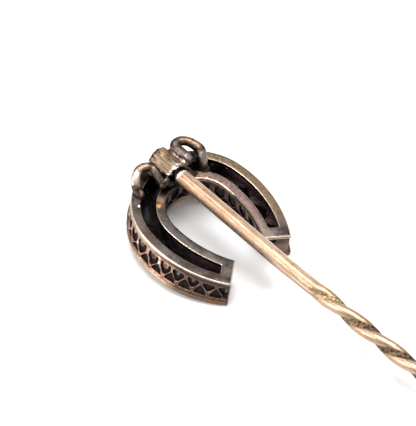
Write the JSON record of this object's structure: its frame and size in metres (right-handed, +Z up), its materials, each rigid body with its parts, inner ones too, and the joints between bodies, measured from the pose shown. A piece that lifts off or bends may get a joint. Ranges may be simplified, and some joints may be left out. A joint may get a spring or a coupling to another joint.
{
  "type": "horseshoe stick pin",
  "caption": "Stick pin with an open-backed horseshoe head, a pierced gallery, two wire loops and a long stem with a twisted stretch and a sharp point.",
  "frame": {"origin": "centre of the bounding box, on the table the pin rests on", "axes": "+Y along the pin from the point to the toe of the horseshoe, +X across the head, +Z up; the pin lies face down on its two heels and the point of the stem"},
  "size_m": [0.0122, 0.06, 0.0064],
  "materials": {
    "setting_metal": "aged gilt metal, grey-brown tarnish with rosy gold where it is worn bright",
    "stem_metal": "polished rose gold with lengthwise streaks and dirt in the twist",
    "stone": "dark red faceted stone, polished, opaque from behind"
  },
  "bodies": {
    "root": {"setting": "setting_metal", "stem": "stem_metal", "stone_1": "stone", "stone_2": "stone", "stone_3": "stone", "stone_4": "stone", "stone_5": "stone", "stone_6": "stone", "stone_7": "stone", "stone_8": "stone", "stone_9": "stone", "stone_10": "stone", "stone_11": "stone"}
  },
  "joints": []
}
